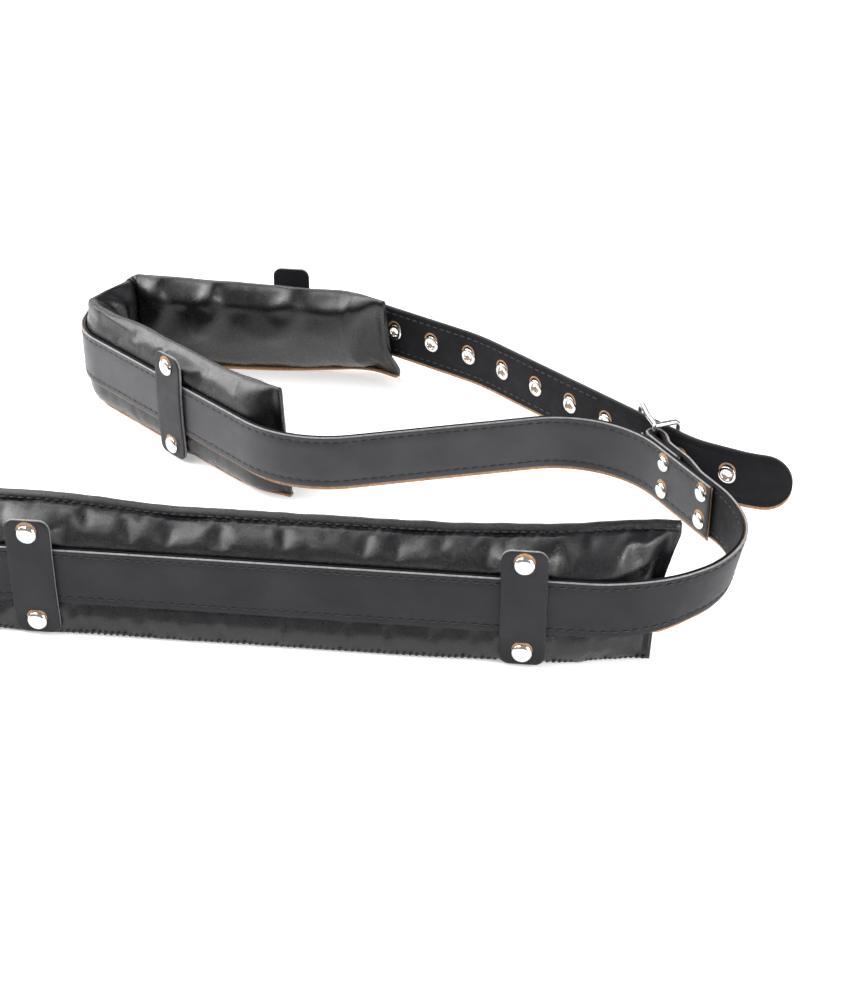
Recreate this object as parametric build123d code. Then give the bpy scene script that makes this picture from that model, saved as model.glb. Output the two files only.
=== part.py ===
from build123d import *
import os
from math import atan2, degrees

# Padded leather strap with a buckled, padded cuff, lying on its edge on a flat surface.
# Millimetres. +Z is up, and the front pad slides along X on the straight run of the sling strap.
# Every strap is a vertical ribbon: its plan is a centre line of straight runs and tangent arcs,
# and each layer lies between two distances to the left of that line.

# Driving dimensions
STRAP_WIDTH = 30.0
STRAP_THICKNESS = 3.0
FACE_LAYER = 1.4            # outer leather, the rest of the thickness is the lining
STRAP_MIDDLE_Z = 33.0
STRAP_CLEARANCE = 0.3       # round a strap where a pad or keeper runs along it
PAD_HEIGHT = 66.0
PAD_BOTTOM_Z = 0.0
COVER_SKIN = 1.8
CUFF_PAD_DEPTH = 20.0
FRONT_PAD_DEPTH = 23.0
FRONT_PAD_ENDS = (-252.0, 122.0)
KEEPER_WIDTH = 23.0
KEEPER_HEIGHT = 63.0
KEEPER_THICKNESS = 2.4
KEEPER_CORNER = 5.0
KEEPER_RIVET_SPACING = 48.8
RIVET_HEAD_RADIUS = 5.0
RIVET_HEAD_HEIGHT = 2.0
RIVET_POST_RADIUS = 1.8
POST_DEPTH = 3.0            # how far a keeper's rivet reaches behind the keeper
EYELET_COUNT = 10
EYELET_PITCH = 27.3
EYELET_RADIUS = 5.0
EYELET_HOLE_RADIUS = 2.75
EYELET_WALL = 0.5
EYELET_FLANGE = 0.5
FLANGE_DENT = 0.05          # how far the leather stands back from a flange
TIP_TO_EYELET = 34.0
WIRE_RADIUS = 1.5           # buckle frame
PRONG_RADIUS = 1.1
BUCKLE_HALF_HEIGHT = 18.5
# The buckle's two end bars and the knees of its side wires: how far along the eyelet strap from the
# hinge bar, and how far behind it
BUCKLE_ENDS = ((-22.5, 13.4), (5.0, 12.8))
BUCKLE_KNEES = ((-10.0, 5.2), (1.8, 5.0))

HALF = STRAP_THICKNESS / 2
STRAP_BOTTOM_Z = STRAP_MIDDLE_Z - STRAP_WIDTH / 2

# The middle of the plan, so that the finished part stands centred on its origin
ORIGIN = (-59.73, 97.21)

# Junction: the cuff strap's square end is riveted to the sling strap
JOINT_END = Vector(139.5, 44.0)
JOINT_RUN = Vector(-0.561, 0.828).normalized()          # from the cuff strap's end towards the buckle
JOINT_SIDE = Vector(JOINT_RUN.Y, -JOINT_RUN.X)          # from the cuff strap towards the sling strap
JOINT_RIVETS_ALONG = (6.5, 40.5)
JOINT_RIVET_RISE = 8.0
BAR_ALONG = 61.0
BAR_ASIDE = 6.4
FOLD_RADIUS = 3.4
FOLD_SLOT_HEIGHT = 11.0


def at_joint(along, aside):
    """A plan point at a distance from the cuff strap's end and from its centre line."""
    spot = JOINT_END + JOINT_RUN * along + JOINT_SIDE * aside
    return (spot.X, spot.Y)


BAR = Vector(*at_joint(BAR_ALONG, BAR_ASIDE))

# Centre lines: corner points with a fillet radius at each inner corner
SLING_POINTS = [
    (-302, -49.5), (108, -49.5), at_joint(-51.3, 3),
    at_joint(15, 3), at_joint(30, 6.1), at_joint(48.3, 6.1), at_joint(56.7, 9.8),
    at_joint(BAR_ALONG + FOLD_RADIUS, BAR_ASIDE + FOLD_RADIUS),
    at_joint(BAR_ALONG + FOLD_RADIUS, BAR_ASIDE - FOLD_RADIUS),
    at_joint(33.5, 3),
]
SLING_RADII = [75, 55, 30, 30, 12, 12, FOLD_RADIUS - 0.01, FOLD_RADIUS - 0.01]
CUFF_POINTS = [
    at_joint(0, 0), at_joint(92, 0), (-80.7, 64.7), (-225.5, 184.6), (-226, 246),
    (-62, 243), (9, 201.6), (132, 91.3), (160, 79.5), (182.3, 75.8),
]
CUFF_RADII = [58, 62, 36, 28, 50, 120, 50, 50]

# The stretch of the cuff strap's loop that the pad lines; its ends are cut square to the strap
CUFF_PAD_REGION = [
    (-300, 0), (-98, 60), (-66, 106), (-90, 160), (-60, 188.7), (-14, 268.4), (-55, 300), (-300, 300),
]
FRONT_KEEPERS_X = (-182.0, 52.0)
CUFF_KEEPERS_AT = (Vector(-155.4, 126.5), Vector(-110, 245))


def left_offset(points, radii, distance):
    """The corner points and radii of the same route, shifted to its left."""
    corners = [Vector(*point) for point in points]
    runs = [(b - a).normalized() for a, b in zip(corners, corners[1:])]
    sides = [Vector(-run.Y, run.X) for run in runs]
    shifted = [corners[0] + sides[0] * distance]
    new_radii = []
    for index, radius in enumerate(radii):
        before, after = sides[index], sides[index + 1]
        shifted.append(corners[index + 1] + (before + after) * (distance / (1 + before.dot(after))))
        turns_left = runs[index].cross(runs[index + 1]).Z > 0
        new_radii.append(radius - distance if turns_left else radius + distance)
    shifted.append(corners[-1] + sides[-1] * distance)
    return shifted, new_radii


def route(points, radii, distance=0.0):
    shifted, new_radii = left_offset(points, radii, distance)
    return FilletPolyline(*shifted, radius=new_radii)


def ribbon(points, radii, near, far, bottom, height):
    """A vertical ribbon between two distances to the left of a route."""
    one = route(points, radii, near)
    other = route(points, radii, far)
    outline = [*one.edges(), *other.edges(), Line(one @ 0, other @ 0), Line(one @ 1, other @ 1)]
    return Pos(0, 0, bottom) * extrude(make_face(outline), amount=height, dir=(0, 0, 1))


def prism(points, bottom, height):
    return Pos(0, 0, bottom) * extrude(make_face(Polyline(*points, close=True)), height, dir=(0, 0, 1))


def station(line, distance, height):
    """A plane on a strap: X along it, Z out of its left face."""
    run = line.tangent_at(distance, position_mode=PositionMode.LENGTH)
    spot = line.position_at(distance, position_mode=PositionMode.LENGTH)
    return Plane(origin=(spot.X, spot.Y, height), x_dir=run, z_dir=Vector(-run.Y, run.X))


def rod(plane, radius, start, end):
    """A cylinder along a plane's normal, from one height above the plane to another."""
    return plane * Pos(0, 0, (start + end) / 2) * Cylinder(radius, end - start)


def rounded_tip(plane):
    """What a strap loses where its end is cut to a half circle; the plane's X points at the tip."""
    reach = STRAP_WIDTH / 2
    towards_tip = (Align.MIN, Align.CENTER, Align.CENTER)
    block = Box(reach * 2, STRAP_WIDTH + 4, STRAP_THICKNESS * 3, align=towards_tip)
    return plane * Pos(-reach, 0, 0) * (block - Cylinder(reach, STRAP_THICKNESS * 3))


def dome(plane, height, direction):
    """A low rivet head whose flat side is at a height above a plane."""
    profile = Polyline(
        (0, 0), (RIVET_HEAD_RADIUS, 0), (RIVET_HEAD_RADIUS, 0.7),
        (RIVET_HEAD_RADIUS * 0.75, 1.6), (RIVET_HEAD_RADIUS * 0.4, RIVET_HEAD_HEIGHT),
        (0, RIVET_HEAD_HEIGHT), close=True,
    )
    head = revolve(Plane.XZ * make_face(profile), Axis.Z)
    flip = Rot(0, 0, 0) if direction > 0 else Rot(180, 0, 0)
    return plane * Pos(0, 0, height) * flip * head


def keeper(plane, inner):
    """A leather tab with rounded corners, its back at a height above a plane."""
    outline = RectangleRounded(KEEPER_WIDTH, KEEPER_HEIGHT, KEEPER_CORNER)
    return plane * Pos(0, 0, inner) * extrude(outline, KEEPER_THICKNESS)


def keeper_planes(middle):
    """Planes at a keeper's two rivets."""
    half = KEEPER_RIVET_SPACING / 2
    return [Plane(origin=middle.origin + Vector(0, 0, rise), x_dir=middle.x_dir, z_dir=middle.z_dir)
            for rise in (-half, half)]


def rounded_rims(block, radius):
    """A pad's block with its top and bottom rims rounded."""
    levels = block.faces().sort_by(Axis.Z)
    return fillet([*levels[0].edges(), *levels[-1].edges()], radius)


def save(name, *solids):
    shape = Compound(children=[solid for item in solids for solid in item.solids()])
    export_step(shape.moved(Location((-ORIGIN[0], -ORIGIN[1], 0))), f"parts/{name}.step")


os.makedirs("parts", exist_ok=True)

# Junction, eyelet and keeper places
sling_line = route(SLING_POINTS, SLING_RADII)
cuff_line = route(CUFF_POINTS, CUFF_RADII)
cuff_length = cuff_line.length
tip_plane = station(cuff_line, cuff_length, STRAP_MIDDLE_Z)
eyelet_planes = [station(cuff_line, cuff_length - TIP_TO_EYELET - EYELET_PITCH * number, STRAP_MIDDLE_Z)
                 for number in range(EYELET_COUNT)]
joint_planes = [
    Plane(origin=(*at_joint(along, 0), STRAP_MIDDLE_Z + rise), x_dir=JOINT_RUN, z_dir=JOINT_SIDE)
    for along in JOINT_RIVETS_ALONG for rise in (-JOINT_RIVET_RISE, JOINT_RIVET_RISE)
]
joint_stacks = [STRAP_THICKNESS + HALF] * 2 + [6.1 + HALF] * 2

# Sling strap: outer face is on its right, so it lies at negative distances
sling_face = ribbon(SLING_POINTS, SLING_RADII, -HALF, FACE_LAYER - HALF, STRAP_BOTTOM_Z, STRAP_WIDTH)
sling_lining = ribbon(SLING_POINTS, SLING_RADII, FACE_LAYER - HALF, HALF, STRAP_BOTTOM_Z, STRAP_WIDTH)
left_tip = Plane(origin=(*SLING_POINTS[0], STRAP_MIDDLE_Z), x_dir=(-1, 0, 0), z_dir=(0, 1, 0))
joint_posts = [rod(plane, RIVET_POST_RADIUS, -HALF, stack)
               for plane, stack in zip(joint_planes, joint_stacks)]
fold_slot = Pos(BAR.X, BAR.Y, STRAP_MIDDLE_Z) * Rot(0, 0, degrees(atan2(JOINT_RUN.Y, JOINT_RUN.X))) \
    * Box(16, 16, FOLD_SLOT_HEIGHT)
for_sling = [rounded_tip(left_tip), fold_slot, *joint_posts]
sling_face = sling_face - for_sling
sling_lining = sling_lining - for_sling

# Cuff strap: outer face is on its left
cuff_face = ribbon(CUFF_POINTS, CUFF_RADII, HALF - FACE_LAYER, HALF, STRAP_BOTTOM_Z, STRAP_WIDTH)
cuff_lining = ribbon(CUFF_POINTS, CUFF_RADII, -HALF, HALF - FACE_LAYER, STRAP_BOTTOM_Z, STRAP_WIDTH)
barrel_radius = EYELET_HOLE_RADIUS + EYELET_WALL
eyelet_holes = [rod(plane, barrel_radius, -HALF - 1, HALF + 1) for plane in eyelet_planes]
for plane in eyelet_planes:         # the flanges are pressed a little way into the leather
    for start, end in ((HALF - FLANGE_DENT, HALF + 1), (-HALF - 1, FLANGE_DENT - HALF)):
        eyelet_holes.append(rod(plane, EYELET_RADIUS + FLANGE_DENT, start, end))
for_cuff = [rounded_tip(tip_plane), *joint_posts, *eyelet_holes]
cuff_face = cuff_face - for_cuff
cuff_lining = cuff_lining - for_cuff


def eyelet(plane):
    body = rod(plane, barrel_radius, -HALF, HALF)
    for side in (-1, 1):
        middle = side * (HALF + EYELET_FLANGE / 2)
        body += plane * Pos(0, 0, middle) * Cylinder(EYELET_RADIUS, EYELET_FLANGE)
    return body - rod(plane, EYELET_HOLE_RADIUS, -HALF - 2, HALF + 2)


eyelets = [eyelet(plane) for plane in eyelet_planes]

joint_caps = []
for plane, stack in zip(joint_planes, joint_stacks):
    joint_caps += [dome(plane, -HALF, -1), dome(plane, stack, 1)]

# Buckle: a bent wire frame whose end bars stand behind the eyelet strap
tail_run = (Vector(*CUFF_POINTS[7]) - Vector(*CUFF_POINTS[6])).normalized()
tail_side = Vector(-tail_run.Y, tail_run.X)


def at_buckle(along, behind, height=STRAP_MIDDLE_Z):
    spot = BAR + tail_run * along + tail_side * behind
    return Vector(spot.X, spot.Y, height)


def wire(points, bends, radius):
    line = FilletPolyline(*points, radius=bends)
    return sweep(Plane(origin=line @ 0, z_dir=line % 0) * Circle(radius), path=line)


top_z = STRAP_MIDDLE_Z + BUCKLE_HALF_HEIGHT
bottom_z = STRAP_MIDDLE_Z - BUCKLE_HALF_HEIGHT
buckle_frame = Pos(BAR.X, BAR.Y, STRAP_MIDDLE_Z) * Cylinder(WIRE_RADIUS, top_z - bottom_z)
for knee, end in zip(BUCKLE_KNEES, BUCKLE_ENDS):
    loop = [
        at_buckle(0, 0, top_z), at_buckle(*knee, top_z), at_buckle(*end, top_z),
        at_buckle(*end, bottom_z), at_buckle(*knee, bottom_z), at_buckle(0, 0, bottom_z),
    ]
    buckle_frame += wire(loop, [3, 3, 3, 3], WIRE_RADIUS)
for end_z in (top_z, bottom_z):
    buckle_frame += Pos(BAR.X, BAR.Y, end_z) * Sphere(WIRE_RADIUS)

PRONG_RING_RADIUS = 3.1
PRONG_RING_HEIGHT = 4.0
# Along the tail and behind the bar: out of the fold, through an eyelet and over the end bar
PRONG_ROUTE = [(-1.8, 1.2), (-15.3, 5.6), (-15.9, 13.0), (-19.6, 16.8), (-25.5, 17.0)]
buckle_prong = Pos(BAR.X, BAR.Y, STRAP_MIDDLE_Z) * Cylinder(PRONG_RING_RADIUS, PRONG_RING_HEIGHT)
buckle_prong += wire([at_buckle(*spot) for spot in PRONG_ROUTE], [2, 2.5, 4], PRONG_RADIUS)
buckle_prong += Pos(*at_buckle(*PRONG_ROUTE[-1])) * Sphere(PRONG_RADIUS)
buckle_prong -= Pos(BAR.X, BAR.Y, STRAP_MIDDLE_Z) * Cylinder(WIRE_RADIUS + 0.1, PRONG_RING_HEIGHT + 1)

# Front pad: a block behind the sling strap, with a channel that the strap lies in
front_outer_y = SLING_POINTS[0][1] - HALF - STRAP_CLEARANCE
front_back_y = front_outer_y + STRAP_THICKNESS + STRAP_CLEARANCE * 2 + FRONT_PAD_DEPTH - STRAP_CLEARANCE
front_length = FRONT_PAD_ENDS[1] - FRONT_PAD_ENDS[0]
front_middle = (sum(FRONT_PAD_ENDS) / 2, (front_outer_y + front_back_y) / 2, PAD_BOTTOM_Z + PAD_HEIGHT / 2)
PAD_ROUND = 7.0
HEM_HEIGHT = 7.0
HEM_THICKNESS = 2.0
channel_bottom = STRAP_BOTTOM_Z - STRAP_CLEARANCE * 2
channel_height = STRAP_WIDTH + STRAP_CLEARANCE * 4
front_channel = ribbon(SLING_POINTS[:4], SLING_RADII[:2], -60, HALF + STRAP_CLEARANCE,
                       channel_bottom, channel_height)
front_outside = Pos(*front_middle) * Box(front_length, front_back_y - front_outer_y, PAD_HEIGHT)
front_outside = fillet(front_outside.edges().filter_by(Axis.X), PAD_ROUND)
front_core = Pos(*front_middle) * Box(
    front_length - COVER_SKIN * 2, front_back_y - front_outer_y - COVER_SKIN * 2, PAD_HEIGHT - COVER_SKIN * 2)
front_core = fillet(front_core.edges().filter_by(Axis.X), PAD_ROUND - COVER_SKIN)
core_channel = ribbon(SLING_POINTS[:4], SLING_RADII[:2], -60, HALF + STRAP_CLEARANCE + COVER_SKIN,
                      channel_bottom - COVER_SKIN, channel_height + COVER_SKIN * 2)
front_foam = front_core - core_channel
front_cover = front_outside - front_channel - front_foam
front_hem = Pos(front_middle[0], front_back_y + HEM_THICKNESS / 2, PAD_BOTTOM_Z + PAD_HEIGHT - PAD_ROUND) \
    * Box(front_length - 4, HEM_THICKNESS, HEM_HEIGHT)

front_planes = [Plane(origin=(x, SLING_POINTS[0][1], STRAP_MIDDLE_Z), x_dir=(1, 0, 0), z_dir=(0, -1, 0))
                for x in FRONT_KEEPERS_X]
cuff_planes = []
for place, run in zip(CUFF_KEEPERS_AT, (2, 4)):
    start, end = Vector(*CUFF_POINTS[run]), Vector(*CUFF_POINTS[run + 1])
    along = (end - start).normalized()
    foot = start + along * (place - start).dot(along)
    outwards = Vector(-along.Y, along.X)
    cuff_planes.append(Plane(origin=(foot.X, foot.Y, STRAP_MIDDLE_Z), x_dir=along, z_dir=outwards))
keeper_back = HALF + STRAP_CLEARANCE


def keeper_rivets(planes):
    """The caps and posts that hold keepers to their pad."""
    caps, posts = [], []
    for middle in planes:
        for plane in keeper_planes(middle):
            caps.append(dome(plane, keeper_back + KEEPER_THICKNESS, 1))
            posts.append(rod(plane, RIVET_POST_RADIUS, keeper_back - POST_DEPTH,
                             keeper_back + KEEPER_THICKNESS))
    return caps, posts


front_caps, front_posts = keeper_rivets(front_planes)
front_keepers = [keeper(plane, keeper_back) - front_posts for plane in front_planes]
front_cover = front_cover - front_posts
front_foam = front_foam - front_posts

# Cuff pad: inside the cuff strap's loop, from the front run round the left bend to the back run
cuff_outer = HALF + STRAP_CLEARANCE
cuff_inner = -HALF - STRAP_CLEARANCE - CUFF_PAD_DEPTH
LOOP_POINTS, LOOP_RADII = CUFF_POINTS[1:7], CUFF_RADII[1:5]
region = prism(CUFF_PAD_REGION, -1, PAD_HEIGHT + 2)
core_region = prism(CUFF_PAD_REGION, PAD_BOTTOM_Z + COVER_SKIN, PAD_HEIGHT - COVER_SKIN * 2)
cuff_outside = ribbon(LOOP_POINTS, LOOP_RADII, cuff_inner, cuff_outer, PAD_BOTTOM_Z, PAD_HEIGHT) & region
cuff_outside = rounded_rims(cuff_outside, PAD_ROUND)
cuff_channel = ribbon(LOOP_POINTS, LOOP_RADII, -HALF - STRAP_CLEARANCE, cuff_outer + 5,
                      channel_bottom, channel_height)
cuff_core = ribbon(LOOP_POINTS, LOOP_RADII, cuff_inner + COVER_SKIN, cuff_outer - COVER_SKIN,
                   PAD_BOTTOM_Z + COVER_SKIN, PAD_HEIGHT - COVER_SKIN * 2) & core_region
cuff_core_channel = ribbon(LOOP_POINTS, LOOP_RADII, -HALF - STRAP_CLEARANCE - COVER_SKIN, cuff_outer + 5,
                           channel_bottom - COVER_SKIN, channel_height + COVER_SKIN * 2)
cuff_foam = rounded_rims(cuff_core, PAD_ROUND - COVER_SKIN) - cuff_core_channel
cuff_cover = cuff_outside - cuff_channel - cuff_foam
cuff_caps, cuff_posts = keeper_rivets(cuff_planes)
cuff_keepers = [keeper(plane, keeper_back) - cuff_posts for plane in cuff_planes]
# the last eyelet's inner flange has a pocket in the pad's end
last_eyelet = rod(eyelet_planes[-1], EYELET_RADIUS + STRAP_CLEARANCE, -HALF - 1, HALF)
cuff_cover = cuff_cover - [*cuff_posts, last_eyelet]
cuff_foam = cuff_foam - cuff_posts

save("sling_strap_face", sling_face)
save("sling_strap_lining", sling_lining)
save("cuff_strap_face", cuff_face)
save("cuff_strap_lining", cuff_lining)
save("strap_eyelets", *eyelets)
save("junction_rivet_caps", *joint_caps)
save("junction_rivet_posts", *joint_posts)
save("buckle_frame", buckle_frame)
save("buckle_prong", buckle_prong)
save("front_pad_cover", front_cover)
save("front_pad_foam", front_foam)
save("front_pad_hem", front_hem)
save("front_keeper_left", front_keepers[0])
save("front_keeper_right", front_keepers[1])
save("front_keeper_rivet_caps", *front_caps)
save("front_keeper_rivet_posts", *front_posts)
save("cuff_pad_cover", cuff_cover)
save("cuff_pad_foam", cuff_foam)
save("cuff_keeper_front", cuff_keepers[0])
save("cuff_keeper_back", cuff_keepers[1])
save("cuff_keeper_rivet_caps", *cuff_caps)
save("cuff_keeper_rivet_posts", *cuff_posts)
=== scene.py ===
import math

import bmesh
import bpy
from mathutils import Euler, Matrix, Vector, noise


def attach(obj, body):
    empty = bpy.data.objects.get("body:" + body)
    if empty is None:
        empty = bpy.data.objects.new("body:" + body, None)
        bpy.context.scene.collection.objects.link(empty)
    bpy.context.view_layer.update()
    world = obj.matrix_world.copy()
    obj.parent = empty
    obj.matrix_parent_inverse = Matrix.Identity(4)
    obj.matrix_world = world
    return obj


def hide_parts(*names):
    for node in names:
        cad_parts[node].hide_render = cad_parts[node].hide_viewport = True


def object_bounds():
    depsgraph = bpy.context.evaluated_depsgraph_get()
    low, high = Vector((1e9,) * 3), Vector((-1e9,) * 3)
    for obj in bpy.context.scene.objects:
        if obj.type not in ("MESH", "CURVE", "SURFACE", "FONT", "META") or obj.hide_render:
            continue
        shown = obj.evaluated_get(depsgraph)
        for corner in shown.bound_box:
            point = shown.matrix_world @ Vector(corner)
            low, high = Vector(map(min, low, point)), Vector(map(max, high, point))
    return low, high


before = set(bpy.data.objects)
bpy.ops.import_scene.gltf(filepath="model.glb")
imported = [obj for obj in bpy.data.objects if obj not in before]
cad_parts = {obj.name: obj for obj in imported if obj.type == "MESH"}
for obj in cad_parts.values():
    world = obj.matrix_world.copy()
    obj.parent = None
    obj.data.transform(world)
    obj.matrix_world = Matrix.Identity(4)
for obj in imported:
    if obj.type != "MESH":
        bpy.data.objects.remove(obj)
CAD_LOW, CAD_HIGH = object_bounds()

# Lengths here are in millimetres, in the plan that the straps are drawn in; MM and ORIGIN take
# them to the row frame, in metres.
MM = 0.001
ORIGIN = (-59.73, 97.21)

STRAP_MIDDLE = 33.0
STRAP_HALF = 15.0
HALF = 1.5
CLEARANCE = 0.3
STITCH_FROM_EDGE = 3.3
STITCH_PITCH = 5.0
KEEPER_BACK = HALF + CLEARANCE
KEEPER_THICKNESS = 2.4
KEEPER_RISE = 24.4          # a keeper's rivets stand this far above and below its middle

ROOT, FRONT = "strap_loop", "front_pad"
scene = bpy.context.scene


# Routes: straight runs joined by tangent arcs, as the straps' plan has them

class Route:
    """A line of straight runs and tangent arcs, read by distance along it."""

    def __init__(self, points, radii):
        corners = [Vector(point) for point in points]
        runs = [(b - a).normalized() for a, b in zip(corners, corners[1:])]
        self.spans = []
        start, reached = corners[0], 0.0
        for index, radius in enumerate(radii):
            turn = runs[index].angle_signed(runs[index + 1])    # clockwise is positive here
            tangent = radius * math.tan(abs(turn) / 2)
            end = corners[index + 1] - runs[index] * tangent
            length = (end - start).length
            self.spans.append((reached, length, start, runs[index], 0.0))
            reached += length
            bend = -math.copysign(1 / radius, turn)
            self.spans.append((reached, radius * abs(turn), end, runs[index], bend))
            reached += radius * abs(turn)
            start = corners[index + 1] + runs[index + 1] * tangent
        length = (corners[-1] - start).length
        self.spans.append((reached, length, start, runs[-1], 0.0))
        self.length = reached + length

    def at(self, distance):
        """Place and direction at a distance along the route."""
        span = self.spans[0]
        for candidate in self.spans:
            if candidate[0] > distance:
                break
            span = candidate
        begin, _, start, run, bend = span
        step = distance - begin
        if bend == 0.0:
            return start + run * step, run
        angle = step * bend
        side = Vector((-run.y, run.x))
        place = start + run * (math.sin(angle) / bend) + side * ((1 - math.cos(angle)) / bend)
        return place, run * math.cos(angle) + side * math.sin(angle)

    def nearest(self, x, y):
        """Distance along the route of its nearest point to a place."""
        steps = [self.length * number / 2000 for number in range(2001)]
        return min(steps, key=lambda s: (self.at(s)[0] - Vector((x, y))).length)

    def world(self, distance, left, height):
        """A row-frame point beside the route."""
        place, run = self.at(distance)
        return Vector(((place.x - run.y * left - ORIGIN[0]) * MM, (place.y + run.x * left - ORIGIN[1]) * MM,
                       height * MM))

    def matrix(self, distance, left, height, face=1):
        """A frame beside the route: X along it, Z out of its left face, or its right for face -1."""
        run = self.at(distance)[1]
        along = Vector((run.x, run.y, 0)) * face
        out = Vector((-run.y, run.x, 0)) * face
        up = out.cross(along)
        axes = Matrix((along, up, out)).transposed().to_4x4()
        return Matrix.Translation(self.world(distance, left, height)) @ axes


JOINT_END = Vector((139.5, 44.0))
JOINT_RUN = Vector((-0.561, 0.828)).normalized()
JOINT_SIDE = Vector((JOINT_RUN.y, -JOINT_RUN.x))


def at_joint(along, aside):
    return tuple(JOINT_END + JOINT_RUN * along + JOINT_SIDE * aside)


SLING = Route(
    [(-302, -49.5), (108, -49.5), at_joint(-51.3, 3), at_joint(15, 3), at_joint(30, 6.1), at_joint(48.3, 6.1),
     at_joint(56.7, 9.8), at_joint(64.4, 9.8), at_joint(64.4, 3), at_joint(33.5, 3)],
    [75, 55, 30, 30, 12, 12, 3.39, 3.39],
)
CUFF = Route(
    [at_joint(0, 0), at_joint(92, 0), (-80.7, 64.7), (-225.5, 184.6), (-226, 246),
     (-62, 243), (9, 201.6), (132, 91.3), (160, 79.5), (182.3, 75.8)],
    [58, 62, 36, 28, 50, 120, 50, 50],
)
PAD_LINE = Route([(-302, -49.5), (160, -49.5)], [])      # the front pad is straight where its strap turns


# Meshes

def piece(name, vertices, faces, body, *nodes, slot=None, smooth=True):
    """A named mesh that rides on a body and stands for CAD nodes."""
    mesh = bpy.data.meshes.new(name)
    mesh.from_pydata([tuple(v) for v in vertices], [], faces)
    if smooth:
        mesh.polygons.foreach_set("use_smooth", [True] * len(mesh.polygons))
    mesh.validate()
    solid = bmesh.new()
    solid.from_mesh(mesh)
    bmesh.ops.recalc_face_normals(solid, faces=solid.faces)
    solid.to_mesh(mesh)
    solid.free()
    made = bpy.data.objects.new(name, mesh)
    bpy.context.scene.collection.objects.link(made)
    if body:
        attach(made, body)
    if nodes:
        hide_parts(*nodes)
    return made


def paint(made, *materials):
    made.data.materials.clear()
    for material in materials:
        made.data.materials.append(material)


def tube_faces(rings, around, closed_ends=True):
    """Faces of a skin of closed rings, one after another."""
    faces = []
    for ring in range(rings - 1):
        for k in range(around):
            a, b = ring * around + k, ring * around + (k + 1) % around
            faces.append((a, b, b + around, a + around))
    if closed_ends:
        faces.append(tuple(range(around)))
        faces.append(tuple(range((rings - 1) * around, rings * around)))
    return faces


def spaced(start, end, step, fine=None, fine_reach=0.0):
    """Distances from start to end, closer together near the ends named in fine."""
    count = max(2, int(round((end - start) / step)))
    places = [start + (end - start) * k / count for k in range(count + 1)]
    for edge in fine or ():
        inward = 1 if edge == start else -1
        places += [edge + inward * fine_reach * (1 - math.cos(math.pi / 2 * k / 10)) for k in range(11)]
    places = sorted(places)
    return [p for i, p in enumerate(places) if i == 0 or p - places[i - 1] > 0.02]


def tip_share(distance, ends):
    """The share of a strap's height that is left near a half-round end."""
    share = 1.0
    for edge in ends:
        gone = STRAP_HALF - abs(distance - edge)
        if gone > 0:
            share = min(share, math.sqrt(max(0.0004, 1 - (gone / STRAP_HALF) ** 2)))
    return share


def layer(name, route, offsets, heights, lean, nodes, tips, groove, longer, highlit, skin):
    """One leather layer of a strap: a ribbon with rounded edges and, on one side, two stitch grooves.

    longer gives how far the lower edge hangs below the others at a distance, and the argument after it says
    where the upper edge gets a painted highlight: light grey in its colour, standing in for the top light
    catching it."""
    low, high = offsets
    bottom, top = heights
    middle, half, round_off = (low + high) / 2, (high - low) / 2, min(0.5, (high - low) / 2)
    right, left = [], []
    rows = [bottom + round_off, bottom + 1.2, top - 1.2, top - round_off]
    for stitch in (STRAP_MIDDLE - STRAP_HALF + STITCH_FROM_EDGE,
                   STRAP_MIDDLE + STRAP_HALF - STITCH_FROM_EDGE):
        rows += [stitch - 1.1, stitch - 0.5, stitch, stitch + 0.5, stitch + 1.1]
    rows += [STRAP_MIDDLE + k for k in (-7, -3.5, 0, 3.5, 7)]
    for z in sorted(rows):
        depth = 0.0
        if groove:
            reach = min(abs(z - STRAP_MIDDLE - s * (STRAP_HALF - STITCH_FROM_EDGE)) for s in (-1, 1))
            depth = 0.32 * max(0.0, 1 - reach / 1.1)
        right.append((low + (depth if groove == "right" else 0), z))
        left.append((high - (depth if groove == "left" else 0), z))
    arc = [(-math.cos(a) * half, math.sin(a) * round_off) for a in (math.pi * k / 6 for k in range(1, 6))]
    over = [(middle + x, top - round_off + y) for x, y in arc]
    under = [(middle - x, bottom + round_off - y) for x, y in arc]
    profile = right + over + left[::-1] + under
    places = spaced(0.0, route.length, 2.5, tips, STRAP_HALF)
    vertices = []
    for distance in places:
        share = tip_share(distance, tips)
        for offset, z in profile:
            height = STRAP_MIDDLE + (z - STRAP_MIDDLE) * share - longer(distance) * (z < bottom + 1.0)
            vertices.append(route.world(distance, offset + lean(distance, height), height))
    around = len(profile)
    made = piece(name, vertices, tube_faces(len(places), around), ROOT, *nodes)
    # The second colour is a painted highlight on the upper edge: light grey standing in for the top light
    # catching it.
    paint(made, skin, EDGE_HIGHLIGHT)
    for polygon in made.data.polygons:
        ring, k = divmod(polygon.index, around)
        upper = len(right) - 1 <= k <= len(right) + 4
        polygon.material_index = int(upper and ring < len(places) - 1 and highlit(places[ring]))
    return made


def lathe(name, profile, frames, body, *nodes, slot=None, around=28):
    """Turned pieces, one at each frame, as one mesh; the profile is radius and height, in mm."""
    vertices, faces = [], []
    for at in frames:
        base = len(vertices)
        closed = profile[0] == profile[-1]
        rows = profile[:-1] if closed else profile
        for radius, height in rows:
            for k in range(around):
                angle = 2 * math.pi * k / around
                spot = Vector((radius * math.cos(angle), radius * math.sin(angle), height)) * MM
                vertices.append(at @ spot)
        total = len(rows)
        for row in range(total if closed else total - 1):
            nxt = (row + 1) % total
            for k in range(around):
                a, b = base + row * around + k, base + row * around + (k + 1) % around
                c, d = base + nxt * around + (k + 1) % around, base + nxt * around + k
                faces.append((a, b, c, d))
        if not closed:
            faces.append(tuple(base + k for k in range(around)))
            faces.append(tuple(base + (total - 1) * around + k for k in range(around)))
    return piece(name, vertices, faces, body, *nodes, slot=slot)


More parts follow.
